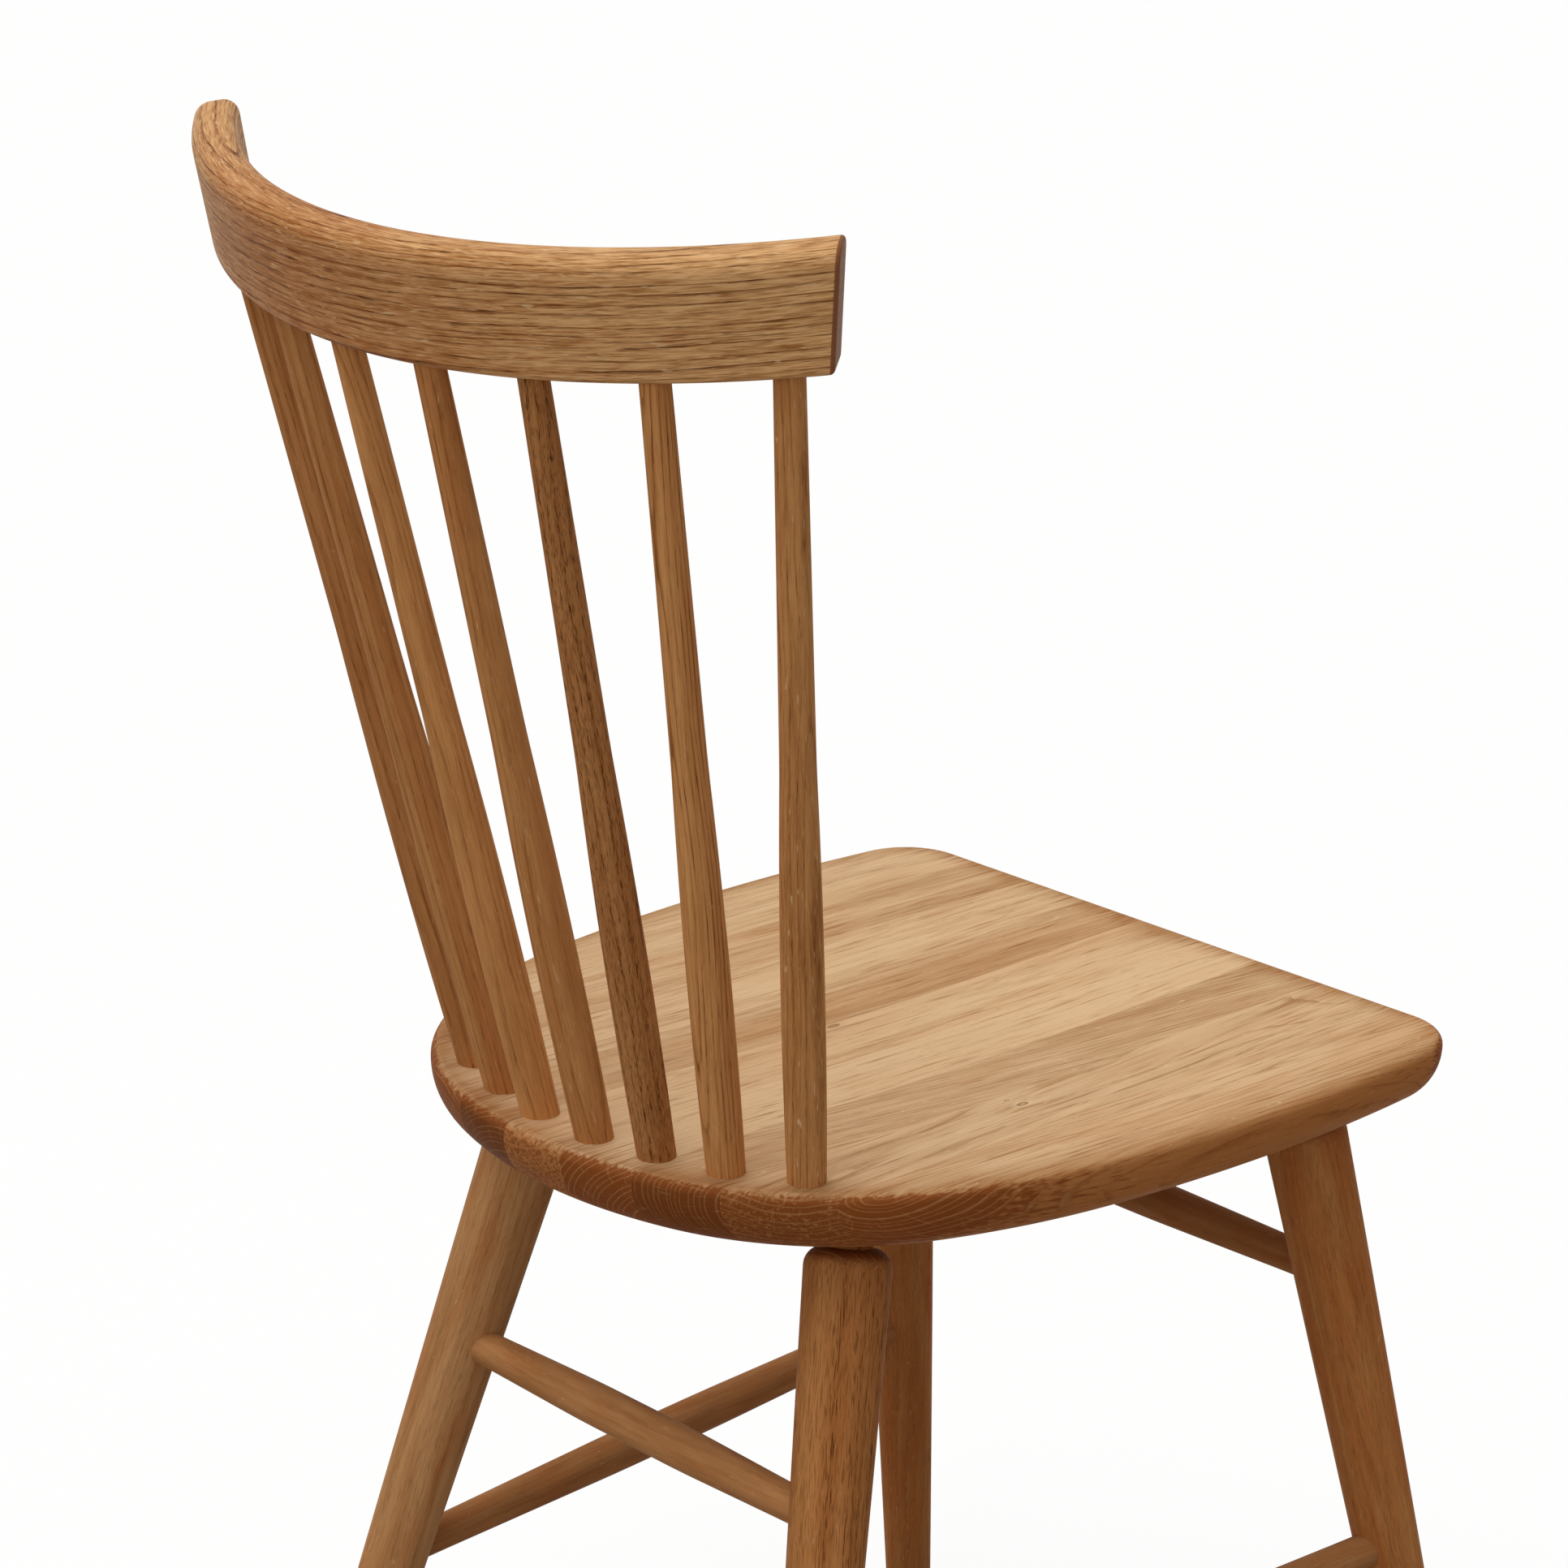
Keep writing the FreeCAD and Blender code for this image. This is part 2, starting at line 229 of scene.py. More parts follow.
# sizes are in millimetres across, up and along the grain; a ring runs from 0 to 1, and a
# pair says between which values something fades in or out
oakLook = {
    "slowWave": (60.0, 60.0, 220.0), "slowDepth": 12.0,
    "quickWave": (10.0, 10.0, 60.0), "quickDepth": 2.2,
    "ringWidth": 3.4, "uneven": 3.0, "earlyShare": 0.55, "ringStart": (0.0, 0.05),
    "lineFade": (0.05, 0.3), "lateStart": (0.55, 0.9), "lateEnd": (0.95, 1.0),
    "fibre": (1.0, 1.0, 20.0), "fibreDetail": 2.5, "fibreRoughness": 0.72, "fibreDepth": 1.1,
    "streak": (4.0, 4.0, 90.0), "streakDepth": 0.9,
    "patch": (14.0, 14.0, 160.0), "patchDepth": 0.4,
    "cloud": (10.0, 10.0, 40.0), "cloudRoughness": 0.6, "cloudDepth": 0.3,
    "broken": (5.0, 5.0, 30.0), "brokenEdge": (0.32, 0.62),
    "pore": (0.6, 0.6, 9.0), "poreFrom": 0.56, "poreEdge": 0.12, "poreInRing": 0.7,
    "poreElsewhere": 0.25, "poreDepth": 0.5,
    "rayRadius": 60.0, "ray": (0.9, 3.0, 7.0), "rayFrom": 0.7, "rayEdge": 0.08, "rayDepth": 0.3,
    "earlyDepth": 0.25, "lateDepth": 0.1, "lineDepth": 0.4, "tintShift": 0.25,
    "pale": (0.67, 0.31, 0.104), "brown": (0.39, 0.135, 0.029),
    "red": (0.43, 0.115, 0.024), "lineTint": (0.43, 0.31, 0.21),
    "poreTint": (0.26, 0.19, 0.16), "rayColour": (0.80, 0.54, 0.30),
    "endColour": (0.21, 0.054, 0.010), "endPale": (0.42, 0.19, 0.08),
    "endDepth": 0.95, "endLine": 0.6, "endRay": (1.5, 1.0, 1.0), "endRadial": 0.08,
    "endAlong": 0.02, "endRayEdge": (0.64, 0.7), "endRayDepth": 0.3, "endFibre": 0.4,
    "endPatch": 0.3, "endRagged": 0.4, "endEdge": (0.1, 0.6), "knots": (),
    "roughness": 0.58, "poreRough": 0.2, "fibreRough": 0.15, "gloss": 0.035, "ior": 1.45,
    "bumpStrength": 0.5, "bumpDistance": 0.00025, "fibreHigh": 0.5, "lineDeep": 0.25,
    "rayHigh": 0.15}


def oakLike(name, **changes):
    return makeOak(name, {**oakLook, **changes})


def unit(vector):
    return vector / np.linalg.norm(vector)


def crossAxes(axis):
    # two directions square to an axis and to each other
    across = unit(np.cross(axis, (0.0, 1.0, 0.0)))
    return across, np.cross(axis, across)


def closedTube(grid):
    # points and faces of a tube: quads between neighbouring rows, whose columns close on
    # themselves, and triangles that close the first and last rows on a pole each
    rows, columns, _ = grid.shape
    column = np.arange(columns)
    after = (column + 1) % columns
    quads = np.stack([column, after, after + columns, column + columns], -1)
    quads = quads + np.arange(rows - 1)[:, None, None] * columns
    first, last = rows * columns, rows * columns + 1
    start = np.stack([np.full(columns, first), after, column], -1)
    end = np.stack([np.full(columns, last), column, after], -1)
    end[:, 1:] += (rows - 1) * columns
    return withPoles(grid), quads.reshape(-1, 4).tolist() + start.tolist() + end.tolist()


def withPoles(values):
    # the same poles for any value that is known on the grid
    return np.concatenate([values.reshape(-1, values.shape[-1]),
                           values[0].mean(0)[None], values[-1].mean(0)[None]])


def addAttribute(mesh, name, kind, part, values):
    layer = mesh.attributes.new(name, kind, "POINT")
    layer.data.foreach_set(part, values.astype(np.float32).ravel())


def addObject(name, data):
    made = bpy.data.objects.new(name, data)
    bpy.context.scene.collection.objects.link(made)
    return made


def addPiece(name, mesh, grain, wood, material, node):
    # grain is each point's place in the tree in millimetres, and wood its tone
    addAttribute(mesh, "grain", "FLOAT_VECTOR", "vector", grain)
    addAttribute(mesh, "wood", "FLOAT_COLOR", "color", wood)
    mesh.materials.append(material)
    piece = addObject(name, mesh)
    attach(piece, "root")
    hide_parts(node)


def makePiece(name, points, faces, grain, wood, material, node):
    mesh = bpy.data.meshes.new(name)
    mesh.from_pydata((points / 1000.0).tolist(), [], faces)
    mesh.polygons.foreach_set("use_smooth", np.ones(len(mesh.polygons), bool))
    mesh.update()
    addPiece(name, mesh, grain, wood, material, node)


def woodTone(tone, endGrain, stainAndShade=0.0):
    # tone is (brightness, redness); endGrain is 1 where the grain is cut squarely across, and
    # stainAndShade is how brown the wood is there, with painted shade on the seat's rim
    wood = np.ones((len(endGrain), 4))
    wood[:, :2] = tone
    wood[:, 2] = endGrain
    wood[:, 3] = stainAndShade
    return wood


def eased(radii, width):
    # the same outline with its corners eased by a moving average
    padded = np.pad(radii, width, mode="edge")
    return np.convolve(padded, np.ones(2 * width + 1) / (2 * width + 1), mode="valid")


def grainAbout(side, up, along, cut):
    # a turned piece's place in the tree: the piece is turned about its own axis, and the
    # pith lies off that axis by cut["pith"], leaning by cut["lean"] along the length
    turn = math.radians(cut["turn"])
    across = side * math.cos(turn) - up * math.sin(turn) - cut["pith"][0] - cut["lean"] * along
    upward = side * math.sin(turn) + up * math.cos(turn) - cut["pith"][1]
    return np.stack([across, upward, along + cut["shift"]], -1)


turnedColumns = 72  # lines along a turned piece


def turnedPiece(name, start, end, lengths, radii, cut, material, node):
    # point = start + length * axis + radius(length) * (across * cos + up * sin)
    axis = unit(end - start)
    across, up = crossAxes(axis)
    angles = np.linspace(0, 2 * math.pi, turnedColumns, endpoint=False)
    side = radii[:, None] * np.cos(angles)
    rise = radii[:, None] * np.sin(angles)
    along = lengths[:, None] + 0 * side
    grid = start + along[..., None] * axis + side[..., None] * across + rise[..., None] * up
    points, faces = closedTube(grid)
    makePiece(name, points, faces, withPoles(grainAbout(side, rise, along, cut)),
              woodTone(cut["tone"], np.zeros(len(points))), material, node)


# the crest rail
rail = {
    "height": 51.72, "thickness": 20.8, "radius": 314.0, "outerOffset": 10.64,
    "endAngle": 39.2, "endFlare": 11.3, "rake": 12.3, "place": (0.0, 241.585, 816.0),
    "outerTop": 8.5, "innerTop": 7.0, "under": 3.0, "endRounding": 2.0,
    "pith": (-34.0, 128.0), "lean": (0.01, 0.03), "shift": 900.0, "tone": (1.0, 0.0),
    "brownAt": 50.0, "brownReach": 130.0, "brownest": 0.3, "rows": 240, "cornerSteps": 12,
    "sideStep": 1.5, "leastRounding": 0.25, "endSteps": 7, "capInsets": (4.5, 7.5),
    "mostInset": 9.6}


def railSection(inset):
    # rounded rectangle of (radius, height) points from the inner bottom corner round, drawn
    # in by inset: a quarter circle at each corner and even steps along each side
    outer = rail["radius"] + rail["outerOffset"]
    inner = outer - rail["thickness"]
    corners = [(inner, 0.0, rail["under"], 180.0), (outer, 0.0, rail["under"], 270.0),
               (outer, rail["height"], rail["outerTop"], 0.0),
               (inner, rail["height"], rail["innerTop"], 90.0)]
    arcs = []
    for radius, height, rounding, first in corners:
        inwards = np.array((1.0 if radius == inner else -1.0, 1.0 if height == 0.0 else -1.0))
        size = max(rounding - inset, rail["leastRounding"])
        middle = np.array((radius, height)) + inwards * (inset + size)
        angles = np.radians(first + np.linspace(0, 90, rail["cornerSteps"]))
        arcs.append(middle + size * np.stack([np.cos(angles), np.sin(angles)], -1))
    steps = [int(length / rail["sideStep"]) for length in (rail["thickness"], rail["height"]) * 2]
    stretches = []
    for arc, following, count in zip(arcs, arcs[1:] + arcs[:1], steps):
        share = np.linspace(0, 1, count + 2)[1:-1, None]
        stretches.append(arc)
        stretches.append(arc[-1] + (following[0] - arc[-1]) * share)
    return np.concatenate(stretches)


def railAxes():
    # the directions to the chair's left, to the back and up along the raked rail
    rake = math.radians(rail["rake"])
    return (np.array((1.0, 0.0, 0.0)), np.array((0.0, math.cos(rake), -math.sin(rake))),
            np.array((0.0, math.sin(rake), math.cos(rake))))


def makeRail():
    # the section swept round an upright cylinder that is raked back; its ends are planes
    # that lean outwards, met by a small rounding
    rounding = rail["endRounding"]
    lean = math.tan(math.radians(rail["endFlare"]))
    endAngle = math.radians(rail["endAngle"])

    def endReach(loop, back):
        # the angle at which each section point meets the end plane, less a distance back
        return endAngle + np.arcsin(loop[:, 1] * lean / loop[:, 0]) - back / loop[:, 0]

    # how far each loop at an end is drawn in, and how far it lies behind the end plane
    insets = [(rounding * (1 - math.cos(bend)), rounding * (1 - math.sin(bend)))
              for bend in np.linspace(0, math.pi / 2, rail["endSteps"])]
    insets += [(min(inset + rounding, rail["mostInset"]), 0.0) for inset in rail["capInsets"]]
    endLoops = [railSection(inset) for inset, _ in insets]
    endReaches = [endReach(loop, back) for loop, (_, back) in zip(endLoops, insets)]
    section = railSection(0.0)
    bodyReach = endReach(section, rounding)
    shares = np.linspace(-1, 1, rail["rows"])[1:-1]
    loops = np.array(endLoops[::-1] + [section] * len(shares) + endLoops)
    reaches = np.array([-reach for reach in endReaches[::-1]]
                       + [share * bodyReach for share in shares] + endReaches)
    side, back, up = railAxes()
    radius, height = loops[..., 0], loops[..., 1]
    grid = (np.array(rail["place"]) + (radius * np.sin(reaches))[..., None] * side
            + (radius * np.cos(reaches) - rail["radius"])[..., None] * back
            + height[..., None] * up)
    along = reaches * rail["radius"]
    grain = np.stack([radius - rail["radius"] - rail["pith"][0] + rail["lean"][0] * along,
                      height - rail["pith"][1] + rail["lean"][1] * along, along + rail["shift"]], -1)
    points, faces = closedTube(grid[:, ::-1])
    capRows = len(endLoops) - 1
    isCap = np.zeros(grid.shape[:2] + (1,))
    isCap[:capRows] = 1.0
    isCap[-capRows:] = 1.0
    # the rail is browner and redder about one place along it
    browner = rail["brownest"] * np.exp(-((along - rail["brownAt"]) / rail["brownReach"]) ** 2)
    browner = withPoles(browner[:, ::-1, None])[:, 0]
    wood = woodTone(rail["tone"], withPoles(isCap)[:, 0], browner)
    wood[:, 1] += browner
    makePiece("crestRail", points, faces, withPoles(grain[:, ::-1]), wood, railOak,
              "crest_rail")


railOak = oakLike(
    "railOak", pale=(0.755, 0.442, 0.200), brown=(0.35, 0.138, 0.036), ringWidth=3.7,
    slowWave=(50.0, 50.0, 190.0), slowDepth=7.0, quickWave=(7.0, 7.0, 55.0), quickDepth=1.8,
    fibre=(0.8, 0.8, 15.0), fibreDepth=3.1, lineDepth=0.9, broken=(4.0, 4.0, 38.0),
    lineTint=(0.33, 0.23, 0.15), pore=(0.6, 0.6, 11.0), poreDepth=0.7, poreElsewhere=0.35,
    ray=(0.8, 1.4, 9.0), rayFrom=0.65, rayDepth=0.5, gloss=0.06, roughness=0.5,
    endRayDepth=0.0, endLine=0.15, endColour=(0.24, 0.09, 0.036), endPale=(0.30, 0.125, 0.055))
print("crest rail")
makeRail()

# the spindles, 1 on the sitter's right
spindle = {
    "footX": (18.9, 53.4, 87.0, 117.5), "footY": (150.785, 143.985, 133.185, 113.585),
    "seatTop": 450.0, "footDiameter": 17.2, "bellyDiameter": 18.6, "bellyShare": 0.3,
    "neckDiameter": 15.4, "neckShare": 0.53, "topDiameter": 13.0, "inSeat": 20.0,
    "inRail": 20.0, "lineRadius": 307.0, "lineAngle": 36.4, "rows": 180, "easedRows": 4,
    "shiftStep": 600.0}
# pith: how far the tree's pith lies off the piece's axis; turn: degrees about that axis;
# lean: how far the pith leans with each millimetre along; tone: brightness and redness;
# oak: what differs from spindleLook and oakLook
spindleCuts = [
    {"pith": (26.0, 14.0), "turn": 20.0, "lean": 0.01, "tone": (0.97, 0.0),
     "oak": {"rayDepth": 0.8, "rayFrom": 0.68, "ray": (2.2, 3.0, 10.0), "quickDepth": 3.5,
             "cloudDepth": 0.6, "fibreDepth": 1.6, "streakDepth": 1.3}},
    {"pith": (30.0, -9.0), "turn": 75.0, "lean": -0.008, "tone": (1.07, 0.0),
     "oak": {"ringWidth": 2.2, "lineDepth": 0.8, "fibre": (0.8, 0.8, 40.0), "quickDepth": 1.0,
             "fibreDepth": 1.7}},
    {"pith": (44.0, 4.0), "turn": 140.0, "lean": 0.012, "tone": (0.83, 0.15),
     "oak": {"poreDepth": 0.7, "pore": (0.5, 0.5, 5.0), "poreElsewhere": 0.6, "poreFrom": 0.52,
             "fibreDepth": 1.4, "streakDepth": 1.2}},
    {"pith": (27.0, 11.0), "turn": 210.0, "lean": 0.006, "tone": (0.96, 0.1),
     "oak": {"rayDepth": 0.6, "rayFrom": 0.68, "ray": (2.0, 4.0, 12.0), "patchDepth": 1.6,
             "patch": (7.0, 7.0, 160.0)}},
    {"pith": (35.0, -5.0), "turn": 265.0, "lean": -0.012, "tone": (1.05, 0.0),
     "oak": {"streakDepth": 0.6, "poreDepth": 0.35, "cloudDepth": 0.5}},
    {"pith": (41.0, 8.0), "turn": 330.0, "lean": 0.004, "tone": (0.9, 0.1),
     "oak": {"patchDepth": 1.8, "patch": (6.0, 6.0, 220.0)}},
    {"pith": (24.0, -3.0), "turn": 100.0, "lean": 0.009, "tone": (0.86, 0.2),
     "oak": {"streakDepth": 1.4}},
    {"pith": (33.0, 2.0), "turn": 180.0, "lean": -0.006, "tone": (0.88, 0.1),
     "oak": {"ringWidth": 2.6}}]
spindleLook = {"pale": (0.66, 0.32, 0.118), "brown": (0.37, 0.14, 0.036)}


def makeSpindles():
    # an arc through foot, belly and neck, then a straight taper to the rail
    feet = list(zip(spindle["footX"], spindle["footY"]))
    feet = [(-x, y) for x, y in feet[::-1]] + feet
    side, back, _ = railAxes()
    neck = spindle["neckShare"]
    knots = (0.0, spindle["bellyShare"], neck)
    sizes = [spindle[size] / 2 for size in ("footDiameter", "bellyDiameter", "neckDiameter")]
    bend = np.polyfit(knots, sizes, 2)
    headAngles = np.radians(np.linspace(-spindle["lineAngle"], spindle["lineAngle"], len(feet)))
    for number, (foot, headAngle, cut) in enumerate(zip(feet, headAngles, spindleCuts), 1):
        # each comes from another place along the tree
        cut = {**cut, "shift": (number - 1) * spindle["shiftStep"]}
        foot = np.array((foot[0], foot[1], spindle["seatTop"]))
        head = (np.array(rail["place"]) + side * spindle["lineRadius"] * math.sin(headAngle)
                + back * spindle["lineRadius"] * (math.cos(headAngle) - 1))
        length = np.linalg.norm(head - foot)
        axis = unit(head - foot)
        start = foot - axis * spindle["inSeat"]
        end = head + axis * spindle["inRail"]
        lengths = np.linspace(0, np.linalg.norm(end - start), spindle["rows"])
        share = (lengths - spindle["inSeat"]) / length
        taper = np.interp(share, (neck, 1.0), (sizes[-1], spindle["topDiameter"] / 2))
        radii = np.where(share < neck, np.polyval(bend, np.clip(share, 0, 1)), taper)
        radii = np.minimum(eased(radii, spindle["easedRows"]), radii.max())
        material = oakLike("spindleOak%d" % number, **{**spindleLook, **cut["oak"]})
        turnedPiece("spindle%d" % number, start, end, lengths, radii, cut, material,
                    "spindle_%d" % number)


print("spindles")
makeSpindles()

# the seat: one rounded panel, then sawn into its boards
seat = {
    "top": 450.0, "thickness": 32.6, "frontY": -238.715, "backY": 171.985,
    "cornerRadius": 34.0, "arcRadii": (233.0, 155.0, 346.0, 820.0),
    "arcTurns": (17.5, 50.4, 14.6), "leastSteps": 4,
    "topRounding": 5.0, "underRounding": 27.0, "dishDepth": 3.0, "dishRadius": 155.0,
    "dishY": -54.215, "easing": 0.3, "middle": (0.0, -40.0), "step": 3.0, "topSteps": 9,
    "underSteps": 22, "flatSteps": 24, "boardWidth": 40.0, "sawDistance": 1e-4,
    # rimShadeBrown, rimShadeDarker and rimShadeRedder are painted shade: the rim and underside are made
    # browner, darker and redder as they turn away from the top
    "sawnFrom": 0.9999, "rimShadeBrown": 0.9, "rimShadeDarker": 0.12, "rimShadeRedder": 0.85,
    "acrossFrom": 0.42, "acrossFast": 2.0, "edgeWidth": 22.0, "edgeBrown": 0.7,
    "edgeAcross": 0.2, "shiftStep": 700.0}
streakShape = {"sway": 2.5, "swayLength": 31.0, "fade": 40.0}
# pith, lean and tone as for a spindle; brown: how brown the board is; endShare: how
# dark its end grain is; rimShadeDarker: how much darker its rim, painted shade included, is
# than the other boards' are; oak: which of seatOaks; streaks: x at the seat's front and
# back, half width, depth, and from and to in y
boardUsual = {"endShare": 1.0, "rimShadeDarker": 0.0, "oak": "calm"}
boardCuts = [
    {"pith": (5.0, 21.0), "lean": 0.03, "tone": (1.01, 0.14), "brown": 0.14,
     "rimShadeDarker": -0.08, "oak": "wavy",
     "streaks": ((-152.0, -160.0, 12.0, 0.3, -260.0, -130.0),
                 (-176.0, -178.0, 6.0, 0.12, -200.0, -60.0))},
    {"pith": (3.0, 84.0), "lean": -0.05, "tone": (1.0, 0.0), "brown": 0.22,
     "endShare": 0.5, "oak": "wavy",
     "streaks": ((-112.0, -124.0, 6.0, 0.25, -260.0, -120.0),
                 (-108.0, -118.0, 7.0, 0.2, 20.0, 150.0))},
    {"pith": (-85.0, 12.0), "lean": 0.13, "tone": (0.99, 0.0), "brown": 0.38,
     "rimShadeDarker": 0.15, "oak": "wavy",
     "streaks": ((-64.0, -80.0, 9.0, 0.3, -270.0, -60.0),
                 (-90.0, -98.0, 9.0, 0.15, -240.0, -60.0))},
    {"pith": (-55.0, -48.0), "lean": 0.02, "tone": (1.03, 0.0), "brown": -0.02,
     "streaks": ((-30.0, -50.0, 7.0, 0.1, -180.0, 60.0),)},
    {"pith": (12.0, 62.0), "lean": 0.03, "tone": (1.02, 0.1), "brown": 0.05,
     "endShare": 0.3,
     "streaks": ((2.0, 30.0, 16.0, 0.55, -300.0, -185.0),
                 (16.0, 10.0, 4.0, 0.25, -210.0, -60.0),
                 (-14.0, -8.0, 4.0, 0.2, -160.0, 60.0))},
    {"pith": (-34.0, -52.0), "lean": 0.03, "tone": (1.0, 0.08), "brown": 0.46,
     "rimShadeDarker": 0.25,
     "streaks": ((26.0, 34.0, 9.0, 0.25, -260.0, 120.0),
                 (44.0, 50.0, 4.0, 0.2, -200.0, 60.0))},
    {"pith": (2.0, -56.0), "lean": 0.02, "tone": (1.02, 0.0), "brown": 0.12,
     "endShare": 0.6,
     "streaks": ((64.0, 68.0, 5.0, 0.2, -120.0, 120.0),)},
    {"pith": (22.0, 48.0), "lean": 0.04, "tone": (1.01, 0.05), "brown": 0.34,
     "streaks": ((106.0, 116.0, 8.0, 0.3, -270.0, -60.0),
                 (132.0, 136.0, 5.0, 0.2, -260.0, -60.0))},
    {"pith": (-8.0, -40.0), "lean": 0.02, "tone": (1.0, 0.0), "brown": 0.13,
     "streaks": ((143.0, 150.0, 5.0, 0.3, -240.0, 0.0),
                 (164.0, 168.0, 4.0, 0.25, -210.0, 0.0))}]


def streaked(points, streaks):
    # each streak is a soft ridge exp(-(distance from its line / half width) ^ 2); the line
    # sways a little, and the streak fades in and out along the grain
    total = np.zeros(len(points))
    x, y = points[:, 0], points[:, 1]
    share = (y - seat["frontY"]) / (seat["backY"] - seat["frontY"])
    for atFront, atBack, width, depth, first, last in streaks:
        sway = streakShape["sway"] * np.sin(y / streakShape["swayLength"] + atFront)
        middle = atFront + (atBack - atFront) * share + sway
        fade = (np.clip((y - first) / streakShape["fade"], 0, 1)
                * np.clip((last - y) / streakShape["fade"], 0, 1))
        total += depth * np.exp(-((x - middle) / width) ** 2) * fade
    return np.clip(total, 0, 1)


def seatOutline():
    # the outline from the middle of the back round to the middle of the front, as arcs
    # (centre, radius, first and last heading), where the heading 0 looks back and pi ahead
    arcs = []
    start = np.array((0.0, seat["backY"]))
    heading = 0.0
    for radius, turn in zip(seat["arcRadii"], seat["arcTurns"] + (None,)):
        middle = start - radius * np.array((math.sin(heading), math.cos(heading)))
        if turn is None:
            # the last arc runs into the rounded front corner
            corner = seat["cornerRadius"]
            cornerY = seat["frontY"] + corner
            cornerX = middle[0] + math.sqrt((radius - corner) ** 2 - (cornerY - middle[1]) ** 2)
            following = math.atan2(cornerX - middle[0], cornerY - middle[1])
        else:
            following = heading + math.radians(turn)
        arcs.append((middle, radius, heading, following))
        heading = following
        start = middle + radius * np.array((math.sin(heading), math.cos(heading)))
    arcs.append((np.array((cornerX, cornerY)), corner, heading, math.pi))
    points = []
    headings = []
    for middle, radius, first, last in arcs:
        count = int(radius * (last - first) / seat["step"]) + seat["leastSteps"]
        turns = np.linspace(first, last, count, endpoint=False)
        points.append(middle + radius * np.stack([np.sin(turns), np.cos(turns)], -1))
        headings.append(turns)
    straight = np.arange(cornerX, 0.0, -seat["step"])
    points.append(np.stack([straight, np.full(len(straight), seat["frontY"])], -1))
    headings.append(np.full(len(straight), math.pi))
    points = np.concatenate(points)
    headings = np.concatenate(headings)
    mirrored = points[:0:-1] * (-1.0, 1.0)
    return np.concatenate([points, mirrored]), np.concatenate([headings, -headings[:0:-1]])


def seatPanel():
    # rows of the outline drawn in by an inset at a height: the dished top, its rounding, the
    # deep rounding underneath and the flat underside; also the surface's own normals, and
    # edges, which point outwards and are 1 long at the rim and shorter further in
    outline, headings = seatOutline()
    outward = np.stack([np.sin(headings), np.cos(headings)], -1)
    top, under = seat["topRounding"], seat["underRounding"]
    middle = np.array(seat["middle"])
    inside = outline - outward * top
    underneath = outline - outward * under
    rows = []
    normals = []

    def addRow(plan, height, outwards, upwards):
        rows.append(np.concatenate([plan, np.broadcast_to(height, (len(plan), 1))], -1))
        upwards = np.full((len(plan), 1), upwards)
        normals.append(np.concatenate([outward * outwards, upwards], -1))

    def dish(plan):
        # depth * (1 - (distance / radius) ^ 2) below the top, its brim eased; and its slope
        offset = plan - np.array((0.0, seat["dishY"]))
        depth = seat["dishDepth"] * (1 - (offset ** 2).sum(-1) / seat["dishRadius"] ** 2)
        root = np.sqrt(depth ** 2 + seat["easing"])
        below = (depth + root) / 2
        slope = seat["dishDepth"] * 2 / seat["dishRadius"] ** 2 * below / root
        return -np.minimum(below, seat["dishDepth"]), offset * slope[:, None]

    reach = np.linalg.norm(inside - middle, axis=1).max()
    for share in np.linspace(0, 1, int(reach / seat["step"]))[1:-1]:
        plan = middle + (inside - middle) * share
        depth, slope = dish(plan)
        rows.append(np.concatenate([plan, seat["top"] + depth[:, None]], -1))
        normals.append(np.concatenate([-slope, np.ones((len(plan), 1))], -1))
    for bend in np.linspace(0, math.pi / 2, seat["topSteps"]):
        plan = outline - outward * top * (1 - math.sin(bend))
        depth, _ = dish(plan)
        height = seat["top"] - top * (1 - math.cos(bend)) + depth[:, None] * math.cos(bend)
        addRow(plan, height, math.sin(bend), math.cos(bend))
    bottom = seat["top"] - seat["thickness"]
    for bend in np.linspace(0, math.pi / 2, seat["underSteps"]):
        addRow(outline - outward * under * (1 - math.cos(bend)),
               bottom + under * (1 - math.sin(bend)), math.cos(bend), -math.sin(bend))
    for share in np.linspace(1, 0, seat["flatSteps"])[1:-1]:
        addRow(middle + (underneath - middle) * share, bottom, 0.0, -1.0)
    rows = np.array(rows)
    away = np.linalg.norm(rows[..., :2] - inside, axis=-1, keepdims=True)
    edges = outward * np.clip(1 - away / seat["edgeWidth"], 0, 1)
    normals = np.array(normals)
    return rows, normals / np.linalg.norm(normals, axis=-1, keepdims=True), edges


def makeBoards():
    # the panel is sawn at each joint, and each board keeps the panel's smooth normals
    grid, normals, edges = seatPanel()
    points, faces = closedTube(grid)
    panel = bpy.data.meshes.new("panel")
    panel.from_pydata(points.tolist(), [], faces)
    addAttribute(panel, "shade", "FLOAT_VECTOR", "vector", withPoles(normals))
    addAttribute(panel, "edge", "FLOAT2", "vector", withPoles(edges))
    rest = bmesh.new()
    rest.from_mesh(panel)
    bmesh.ops.recalc_face_normals(rest, faces=rest.faces)
    width = seat["boardWidth"]
    count = len(boardCuts)
    for number, cut in enumerate(boardCuts, 1):
        board = rest
        if number < count:
            joint = (number - count / 2) * width
            board = rest.copy()
            sawAt(board, joint, 1.0)
            sawAt(rest, joint, -1.0)
        middle = (number - (count + 1) / 2) * width
        finishBoard(board, number, middle, {**boardUsual, **cut})
    bpy.data.meshes.remove(panel)


def sawAt(work, joint, side):
    # keep what lies below the joint (side +1) or above it (side -1), and close the cut
    everything = work.verts[:] + work.edges[:] + work.faces[:]
    found = bmesh.ops.bisect_plane(work, geom=everything, dist=seat["sawDistance"],
                                   plane_co=(joint, 0.0, 0.0), plane_no=(side, 0.0, 0.0),
                                   clear_outer=True)
    rim = [item for item in found["geom_cut"] if isinstance(item, bmesh.types.BMEdge)]
    bmesh.ops.edgeloop_fill(work, edges=rim)


def readRows(items, value, width, kind=np.float32):
    # one value of every item, as rows of so many numbers
    numbers = np.zeros(len(items) * width, kind)
    items.foreach_get(value, numbers)
    return numbers.reshape(-1, width)


